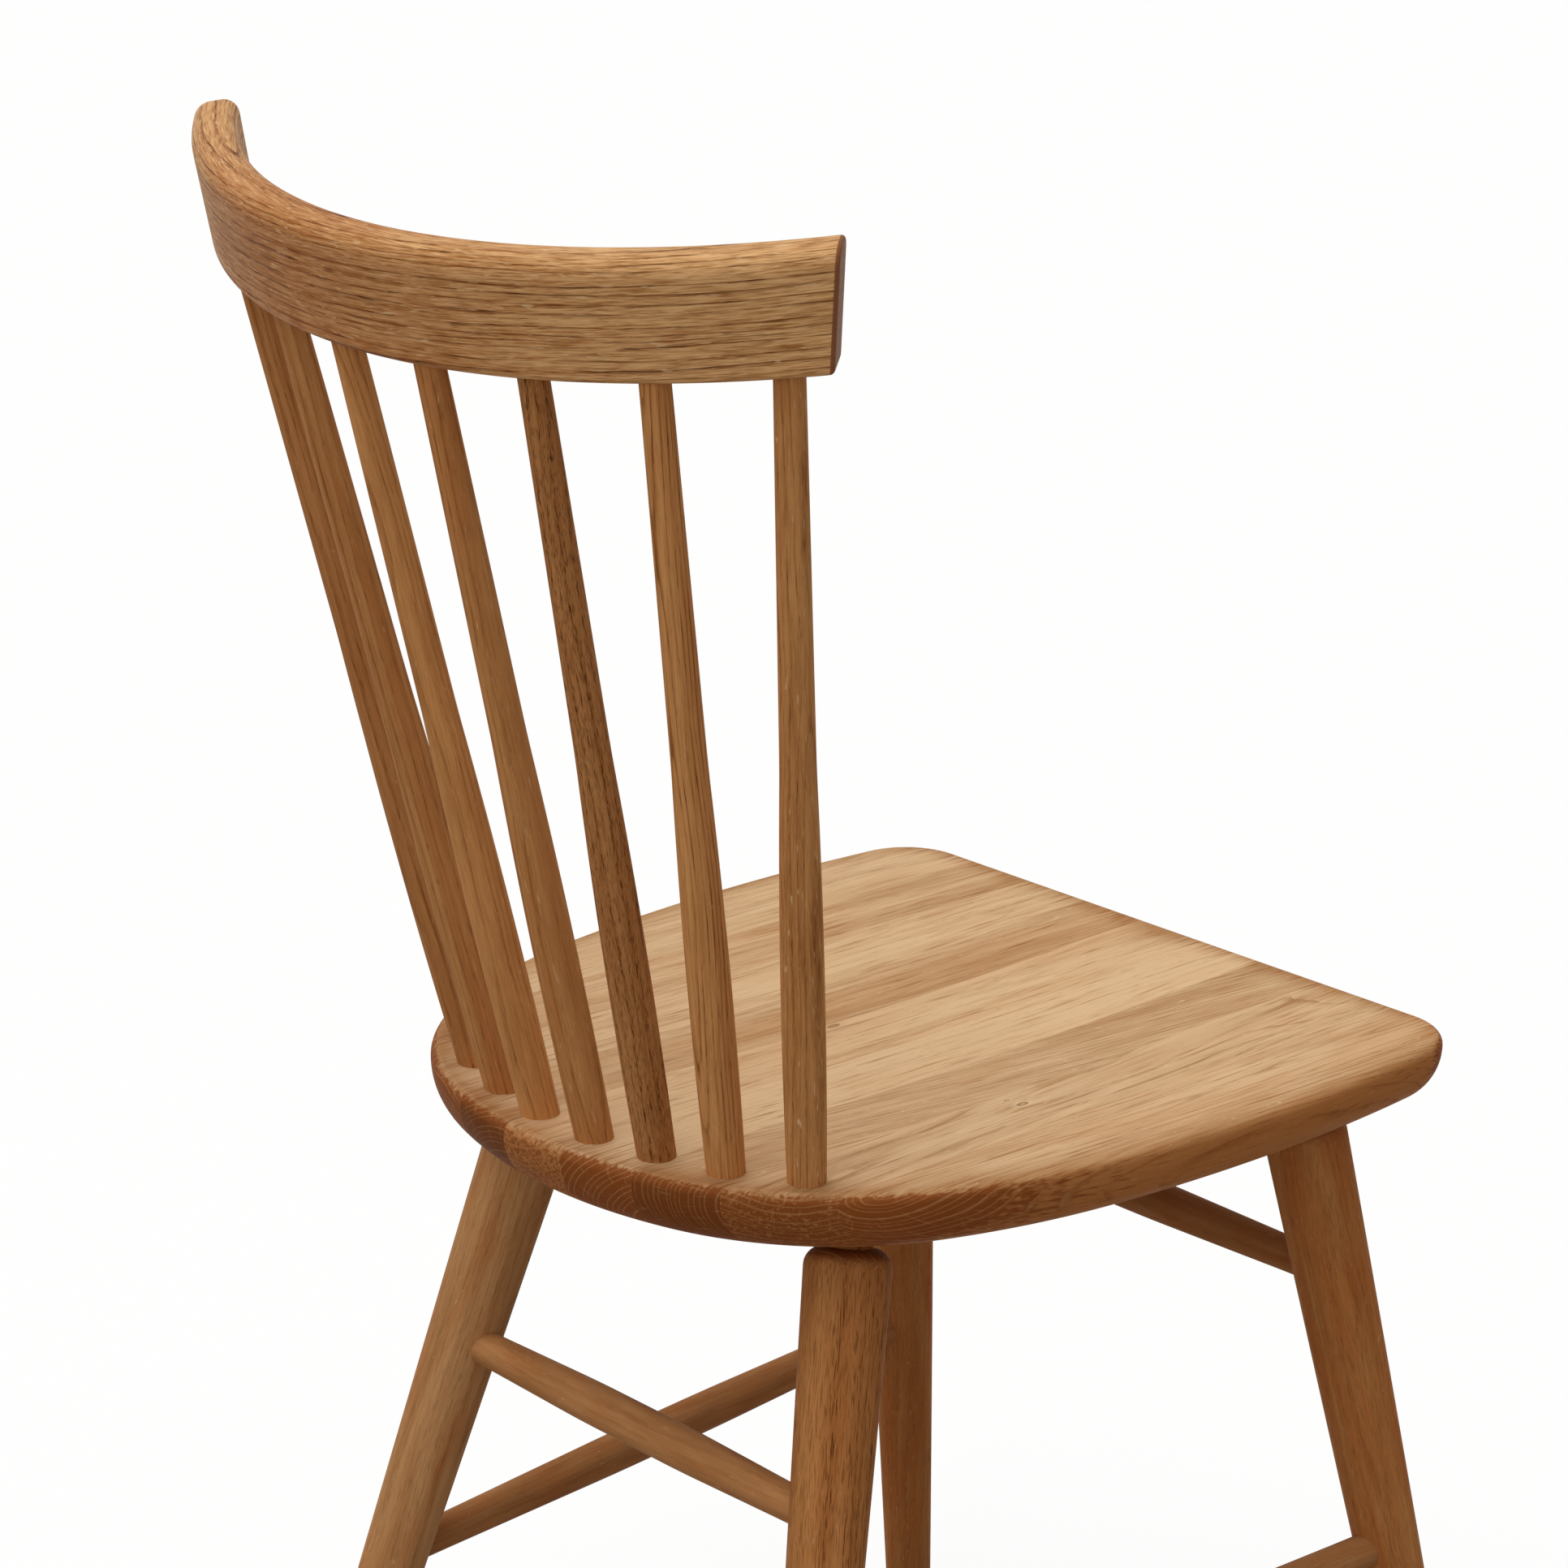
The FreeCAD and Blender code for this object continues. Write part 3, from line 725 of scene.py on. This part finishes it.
def finishBoard(work, number, middle, cut):
    # middle is the x of the board's middle
    name = "seatBoard%d" % number
    mesh = bpy.data.meshes.new(name)
    bmesh.ops.recalc_face_normals(work, faces=work.faces)
    work.to_mesh(mesh)
    work.free()
    points = readRows(mesh.vertices, "co", 3)
    shade = readRows(mesh.attributes["shade"].data, "vector", 3)
    shade /= np.linalg.norm(shade, axis=1, keepdims=True)
    edge = readRows(mesh.attributes["edge"].data, "vector", 2) ** 2
    grain = np.stack([points[:, 0] - middle - cut["pith"][0] - cut["lean"] * points[:, 1],
                      points[:, 2] - seat["top"] + seat["thickness"] / 2 - cut["pith"][1],
                      points[:, 1] + (number - 1) * seat["shiftStep"]], -1)
    # turned runs from 0 on the top to 1 where the rim faces sideways: there shade is painted
    # in, the wood made browner, darker and redder, and it shows end grain where it faces along the
    # grain
    turned = np.clip(1 - shade[:, 2], 0, 1)
    stainAndShade = (streaked(points, cut["streaks"]) + cut["brown"]) * (1 - turned)
    # painted shade: the rim, turned away from the top, is made browner
    stainAndShade = stainAndShade + seat["rimShadeBrown"] * turned + edge.sum(1) * seat["edgeBrown"]
    across = np.clip(np.abs(shade[:, 1]) / seat["acrossFrom"], 0, 1) ** 2 * cut["endShare"]
    across = across * np.clip(turned * seat["acrossFast"], 0, 1)
    wood = woodTone(cut["tone"], across + edge[:, 1] * seat["edgeAcross"] * cut["endShare"], stainAndShade)
    # painted shade: the rim is made darker and redder as it turns away from the top
    wood[:, 0] *= 1 - (seat["rimShadeDarker"] + cut["rimShadeDarker"]) * turned
    wood[:, 1] += seat["rimShadeRedder"] * turned
    mesh.attributes.remove(mesh.attributes["shade"])
    mesh.attributes.remove(mesh.attributes["edge"])
    mesh.vertices.foreach_set("co", (points / 1000.0).ravel())
    mesh.polygons.foreach_set("use_smooth", np.ones(len(mesh.polygons), bool))
    # sawn faces look straight sideways and shade flat
    loopVertex = readRows(mesh.loops, "vertex_index", 1, np.int32)[:, 0]
    faceNormals = readRows(mesh.polygons, "normal", 3)
    sizes = readRows(mesh.polygons, "loop_total", 1, np.int32)[:, 0]
    loopFace = np.repeat(np.arange(len(sizes)), sizes)
    sawn = (np.abs(faceNormals[:, :1]) > seat["sawnFrom"])[loopFace]
    loopNormals = np.where(sawn, faceNormals[loopFace], shade[loopVertex])
    mesh.normals_split_custom_set(loopNormals.tolist())
    mesh.update()
    addPiece(name, mesh, grain, wood, seatOaks[cut["oak"]],
             "seat_board_%d" % number)


seatLook = {
    "pale": (0.705, 0.475, 0.271), "brown": (0.43, 0.225, 0.095),
    "red": (0.50, 0.195, 0.058), "tintShift": -0.03,
    "lineTint": (0.56, 0.40, 0.22), "lineDepth": 0.15, "ringWidth": 3.0,
    "slowWave": (60.0, 60.0, 260.0), "slowDepth": 5.0, "quickDepth": 0.8,
    "earlyDepth": 0.1, "lateDepth": 0.05,
    "fibre": (1.7, 1.7, 40.0), "fibreDetail": 1.0, "fibreDepth": 0.9,
    "streak": (5.0, 5.0, 140.0), "streakDepth": 0.8,
    "patch": (24.0, 24.0, 130.0), "patchDepth": 0.8,
    "cloud": (26.0, 26.0, 90.0), "cloudDepth": 0.5,
    "pore": (0.9, 0.9, 8.0), "poreFrom": 0.58, "poreDepth": 0.38,
    "poreTint": (0.56, 0.42, 0.26), "rayColour": (0.85, 0.62, 0.38), "rayDepth": 0.4,
    "endColour": (0.25, 0.066, 0.0135), "endPale": (0.52, 0.26, 0.11), "endRagged": 1.4}
wavyLook = {**seatLook, "lineDepth": 0.55, "ringWidth": 2.6, "slowDepth": 22.0,
            "slowWave": (55.0, 55.0, 230.0), "quickDepth": 0.9}
# places and sizes in metres
pinKnots = (
    {"place": (0.0179, -0.0254, 0.4475), "size": (0.0014, 0.0034, 0.02), "depth": 0.7,
     "dark": (0.20, 0.10, 0.04), "pale": (0.56, 0.33, 0.16)},
    {"place": (-0.1138, -0.0204, 0.449), "size": (0.0015, 0.0030, 0.02), "depth": 0.75,
     "dark": (0.22, 0.11, 0.045), "pale": (0.80, 0.56, 0.33)},
    {"place": (-0.1055, -0.0183, 0.449), "size": (0.0007, 0.0016, 0.02), "depth": 0.6,
     "dark": (0.22, 0.11, 0.045), "pale": (0.72, 0.48, 0.27)})
seatOaks = {"calm": oakLike("calmOak", **seatLook, knots=pinKnots[:1]),
            "wavy": oakLike("wavyOak", **wavyLook, knots=pinKnots[1:])}
print("seat boards")
makeBoards()

# the legs
leg = {
    "referenceZ": 427.5, "frontX": 137.0, "frontY": -176.615, "rearX": 105.4, "rearY": 75.285,
    "frontSplay": 8.08, "frontRake": -9.7, "rearSplay": 10.04, "rearRake": 14.52,
    "topDiameter": 39.6, "middleDiameter": 33.4, "footDiameter": 23.3, "middleShare": 0.42,
    "shoulderRounding": 9.0, "tenonDiameter": 21.0, "socketDepth": 21.0, "footRounding": 2.0,
    "seatUnder": 417.4, "shoulderGap": 7.5, "tenonPart": 60.0, "columns": 80, "rows": 130,
    "shoulderSteps": 12, "soleCore": 0.4}
# shift: place along the tree; oak: which of legOaks
legCuts = {
    "leg_front_left": {
        "pith": (46.0, 10.0), "turn": 30.0, "lean": 0.02, "shift": 0.0, "tone": (0.97, 0.35),
        "oak": "smooth"},
    "leg_front_right": {
        "pith": (38.0, -14.0), "turn": 120.0, "lean": -0.015, "shift": 900.0,
        "tone": (1.04, 0.28), "oak": "smooth"},
    "leg_rear_left": {
        "pith": (52.0, 6.0), "turn": 200.0, "lean": 0.01, "shift": 1800.0, "tone": (1.05, 0.0),
        "oak": "pale"},
    "leg_rear_right": {
        "pith": (43.0, 12.0), "turn": 290.0, "lean": 0.018, "shift": 2700.0,
        "tone": (0.96, 0.1), "oak": "pored"}}
legLook = {
    "pale": (0.54, 0.24, 0.080), "brown": (0.30, 0.10, 0.022),
    "pore": (0.48, 0.48, 9.0), "poreFrom": 0.52, "poreDepth": 0.9, "poreInRing": 0.5,
    "poreElsewhere": 0.5, "fibre": (0.9, 0.9, 30.0), "fibreDepth": 0.6, "lineDepth": 0.12,
    "earlyDepth": 0.22, "streak": (6.0, 6.0, 120.0), "streakDepth": 1.3,
    "patchDepth": 0.7, "slowDepth": 8.0}
smoothLook = {**legLook, "poreDepth": 0.3, "slowDepth": 14.0, "quickDepth": 4.0, "earlyDepth": 0.1,
              "patch": (9.0, 9.0, 70.0), "patchDepth": 1.6}
# a paler, less saturated copy of smoothLook for the rear left leg: partly its own tone, partly a
# painted sheen of the light on it
paleSheenLook = {**smoothLook, "pale": (0.57, 0.30, 0.128), "brown": (0.32, 0.135, 0.042)}
legOaks = {"pored": oakLike("poredOak", **legLook),
           "smooth": oakLike("smoothOak", **smoothLook),
           "pale": oakLike("paleSheenOak", **paleSheenLook)}


def legAxis(side, front, z):
    # the point of a leg's axis at the height z
    drop = leg["referenceZ"] - z
    end = "front" if front else "rear"
    splay, rake = [math.tan(math.radians(leg[end + lean])) for lean in ("Splay", "Rake")]
    return np.array((side * (leg[end + "X"] + splay * drop), leg[end + "Y"] + rake * drop, z))


def makeLegs():
    # tenon, rounded shoulder, a long taper, and a foot sawn level with the floor
    for name, cut in legCuts.items():
        side = 1 if name.endswith("left") else -1
        front = "front" in name
        atSeat = legAxis(side, front, leg["seatUnder"])
        atFloor = legAxis(side, front, 0.0)
        down = unit(atFloor - atSeat)
        tilt = math.acos(-down[2])
        rounding = leg["shoulderRounding"]
        shoulderRadius = leg["topDiameter"] / 2 - rounding
        drop = (shoulderRadius * math.sin(tilt) + rounding * (1 - math.cos(tilt))) / math.cos(tilt)
        start = atSeat - down * (leg["socketDepth"] / math.cos(tilt))
        shoulderAt = np.linalg.norm(atSeat + down * (drop + leg["shoulderGap"]) - start)
        floorAt = np.linalg.norm(atFloor - start)
        length = floorAt + leg["footDiameter"] / 2 - shoulderAt
        tenon = leg["tenonDiameter"] / 2
        bend = np.linspace(0, math.pi / 2, leg["shoulderSteps"])
        share = np.linspace(0, 1, leg["rows"])
        share = share[share > rounding / length]
        knots = (rounding / length, leg["middleShare"], 1.0)
        sizes = [leg[size] / 2 for size in ("topDiameter", "middleDiameter", "footDiameter")]
        taper = np.polyval(np.polyfit(knots, sizes, 2), share)
        lengths = np.concatenate([(0.0, shoulderAt / 2, shoulderAt, shoulderAt),
                                  shoulderAt + rounding * (1 - np.cos(bend)),
                                  shoulderAt + share * length])
        radii = np.concatenate([(tenon, tenon, tenon, (tenon + shoulderRadius) / 2),
                                shoulderRadius + rounding * np.sin(bend), taper])
        cutLevelFoot(name, start, down, lengths, radii, floorAt, cut)


def cutLevelFoot(name, start, down, lengths, radii, floorAt, cut):
    # point = start + length * down + radius(length) * circle; below the tenon the lengths of
    # each line along the leg are stretched so that it ends where it meets the floor
    across, up = crossAxes(down)
    angles = np.linspace(0, 2 * math.pi, leg["columns"], endpoint=False)
    circle = np.cos(angles)[:, None] * across + np.sin(angles)[:, None] * up
    footRadius = np.interp(floorAt, lengths, radii)
    meets = (start[2] + footRadius * circle[:, 2]) / -down[2]
    chamfer = leg["footRounding"]
    tenonPart = leg["tenonPart"]
    stretch = (lengths[:, None] - tenonPart) / (lengths[-1] - tenonPart)
    grown = tenonPart + stretch * (meets - chamfer - tenonPart)
    grown = np.where(stretch > 0, grown, lengths[:, None])
    radius = np.where(stretch > 0, np.interp(grown, lengths, radii), radii[:, None])
    grid = start + grown[..., None] * down + radius[..., None] * circle
    # the sole: the cut's own outline, drawn in towards its centre
    ring = start + meets[:, None] * down + footRadius * circle
    centre = ring.mean(0)
    shares = np.array((1 - chamfer / footRadius, 1 - chamfer * 3 / footRadius, leg["soleCore"]))
    sole = centre + (ring - centre) * shares[:, None, None]
    sole[..., 2] = 0.0
    grid = np.concatenate([grid, sole])
    local = grid - start
    grain = grainAbout(local @ across, local @ up, local @ down, cut)
    points, faces = closedTube(grid)
    # end grain where the profile turns across the leg: its sole and its shoulder
    rise, run = np.gradient(radii), np.gradient(lengths)
    slope = rise / (np.hypot(rise, run) + 1e-6)  # never divided by zero
    cutAcross = np.ones(grid.shape[:2] + (1,))
    cutAcross[:len(lengths)] = (slope ** 2)[:, None, None]
    wood = woodTone(cut["tone"], withPoles(cutAcross)[:, 0])
    makePiece(name.replace("_", ""), points, faces, withPoles(grain), wood,
              legOaks[cut["oak"]], name)


print("legs")
makeLegs()

# the stretchers
stretcher = {
    "rearZ": 290.2, "frontZ": 328.0, "sideFrontZ": 185.5, "sideRearZ": 177.5,
    "endDiameter": 16.6, "middleDiameter": 20.0, "middleLength": 70.0, "pastAxis": 4.0,
    "rows": 160, "easedRows": 7}
# ends: each end's leg (its side, whether in front) and height; the rest as for a leg
stretcherCuts = {
    "stretcher_rear": {
        "ends": ((1, False, "rearZ"), (-1, False, "rearZ")),
        "pith": (28.0, 7.0), "turn": 10.0, "lean": 0.01, "shift": 0.0, "tone": (1.0, 0.0)},
    "stretcher_front": {
        "ends": ((1, True, "frontZ"), (-1, True, "frontZ")),
        "pith": (33.0, -6.0), "turn": 80.0, "lean": -0.01, "shift": 500.0, "tone": (0.85, 0.3)},
    "stretcher_left": {
        "ends": ((1, True, "sideFrontZ"), (1, False, "sideRearZ")),
        "pith": (25.0, 9.0), "turn": 150.0, "lean": 0.01, "shift": 1000.0, "tone": (0.93, 0.2)},
    "stretcher_right": {
        "ends": ((-1, True, "sideFrontZ"), (-1, False, "sideRearZ")),
        "pith": (31.0, 3.0), "turn": 220.0, "lean": 0.01, "shift": 1500.0, "tone": (0.9, 0.15)}}
stretcherOak = oakLike(
    "stretcherOak", pale=(0.52, 0.25, 0.098), brown=(0.30, 0.115, 0.034), ringWidth=3.0,
    fibreDepth=0.35, lineDepth=0.08, poreDepth=0.15, earlyDepth=0.15,
    streak=(6.0, 6.0, 40.0), streakDepth=1.2, patch=(8.0, 8.0, 22.0), patchDepth=0.8)


def makeStretchers():
    # straight in the sockets and in the middle, tapered between, with eased corners
    for name, cut in stretcherCuts.items():
        first, second = [legAxis(side, front, stretcher[height])
                         for side, front, height in cut["ends"]]
        axis = unit(second - first)
        start = first - axis * stretcher["pastAxis"]
        end = second + axis * stretcher["pastAxis"]
        full = np.linalg.norm(end - start)
        straight = stretcher["pastAxis"] + leg["topDiameter"] / 2
        half = stretcher["middleLength"] / 2
        lengths = np.linspace(0, full, stretcher["rows"])
        endRadius = stretcher["endDiameter"] / 2
        middleRadius = stretcher["middleDiameter"] / 2
        radii = np.interp(lengths, (straight, full / 2 - half, full / 2 + half, full - straight),
                          (endRadius, middleRadius, middleRadius, endRadius))
        turnedPiece(name.replace("_", ""), start, end, lengths, eased(radii, stretcher["easedRows"]),
                    cut, stretcherOak, name)


print("stretchers")
makeStretchers()

# floor, light and camera, in metres and watts; floorShow is how evenly white the floor looks
studio = {
    "floorSize": 60.0, "floorDrop": 0.0005, "floorShow": 0.86, "white": (1.0, 1.0, 1.0),
    "bounce": (0.27, 0.24, 0.21), "surroundings": (1.0, 0.98, 0.93), "worldStrength": 0.40,
    "sunStrength": 1.75, "sunAngle": 60.0, "sunFrom": (0.1, 0.2, 1.0),
    "lampPlace": (-0.9, 2.4, 1.3), "lampAim": (0.0, 0.0, 0.5), "lampSize": 1.6,
    "lampPower": 10.0}


def seenRay(tree):
    # 1 where the camera looks, straight or by a reflection or through glass
    rays = [tree.add("ShaderNodeLightPath", out=out)
            for out in ("Is Camera Ray", "Is Glossy Ray", "Is Transmission Ray")]
    return rays[0].math("MAXIMUM", rays[1]).math("MAXIMUM", rays[2])


def makeFloor():
    # white where it is seen, with the chair's shadow; dimmer for the light that it throws back
    material = bpy.data.materials.new("paleFloor")
    tree = Tree(material)
    seen = seenRay(tree)
    colour = tree.mix(seen, studio["bounce"], studio["white"])
    paint = tree.add("ShaderNodeBsdfDiffuse", {}, {"Color": colour})
    glow = tree.add("ShaderNodeEmission", {}, {"Color": studio["white"], "Strength": 1.0})
    both = tree.add("ShaderNodeMixShader", {}, {0: seen * studio["floorShow"], 1: paint, 2: glow})
    tree.finish("ShaderNodeOutputMaterial", both)
    half = studio["floorSize"] / 2
    low = -studio["floorDrop"]
    mesh = bpy.data.meshes.new("floor")
    corners = [(-half, -half, low), (half, -half, low), (half, half, low), (-half, half, low)]
    mesh.from_pydata(corners, [], [(0, 1, 2, 3)])
    mesh.materials.append(material)
    floor = addObject("floor", mesh)


def makeWorld():
    # white where it is seen, and a dimmer, slightly warm light all round
    world = bpy.data.worlds.new("studio")
    bpy.context.scene.world = world
    tree = Tree(world)
    seen = seenRay(tree)
    colour = tree.mix(seen, studio["surroundings"], studio["white"])
    strength = seen * (1.0 - studio["worldStrength"]) + studio["worldStrength"]
    glow = tree.add("ShaderNodeBackground", {}, {"Color": colour, "Strength": strength})
    tree.finish("ShaderNodeOutputWorld", glow)


def addLamp(name, data, place, aim):
    lamp = addObject(name, data)
    lamp.location = place
    toAim = Vector(np.array(aim) - np.array(place))
    lamp.rotation_euler = toAim.to_track_quat("-Z", "Y").to_euler()


def makeLamps():
    # a broad soft light overhead, and a weaker one beside the camera
    sun = bpy.data.lights.new("overhead", "SUN")
    sun.energy = studio["sunStrength"]
    sun.angle = math.radians(studio["sunAngle"])
    addLamp("overhead", sun, studio["sunFrom"], (0.0, 0.0, 0.0))
    fill = bpy.data.lights.new("fill", "AREA")
    fill.size = studio["lampSize"]
    fill.energy = studio["lampPower"]
    addLamp("fill", fill, studio["lampPlace"], studio["lampAim"])


# the camera's place in metres and direction; its focal length in pixels of the square image
view = {
    "place": (-1.497908, 1.363061, 1.233695),
    "forward": (0.70872518, -0.63438909, -0.30864074), "roll": 0.0027,
    "focalPixels": 5755.73, "imagePixels": 1932.0, "sensor": 36.0}


def makeCamera():
    data = bpy.data.cameras.new("camera")
    data.sensor_width = view["sensor"]
    data.lens = view["focalPixels"] / view["imagePixels"] * view["sensor"]
    forward = unit(np.array(view["forward"]))
    right = unit(np.cross(forward, (0.0, 0.0, 1.0)))
    upward = np.cross(right, forward)
    right = right * math.cos(view["roll"]) + upward * math.sin(view["roll"])
    upward = np.cross(right, forward)
    turn = Matrix(np.stack([right, upward, -forward], -1).tolist()).to_4x4()
    camera = addObject("camera", data)
    camera.matrix_world = Matrix.Translation(view["place"]) @ turn
    bpy.context.scene.camera = camera


print("floor, light and camera")
makeFloor()
makeWorld()
makeLamps()
makeCamera()
bpy.context.scene.view_settings.view_transform = "Standard"
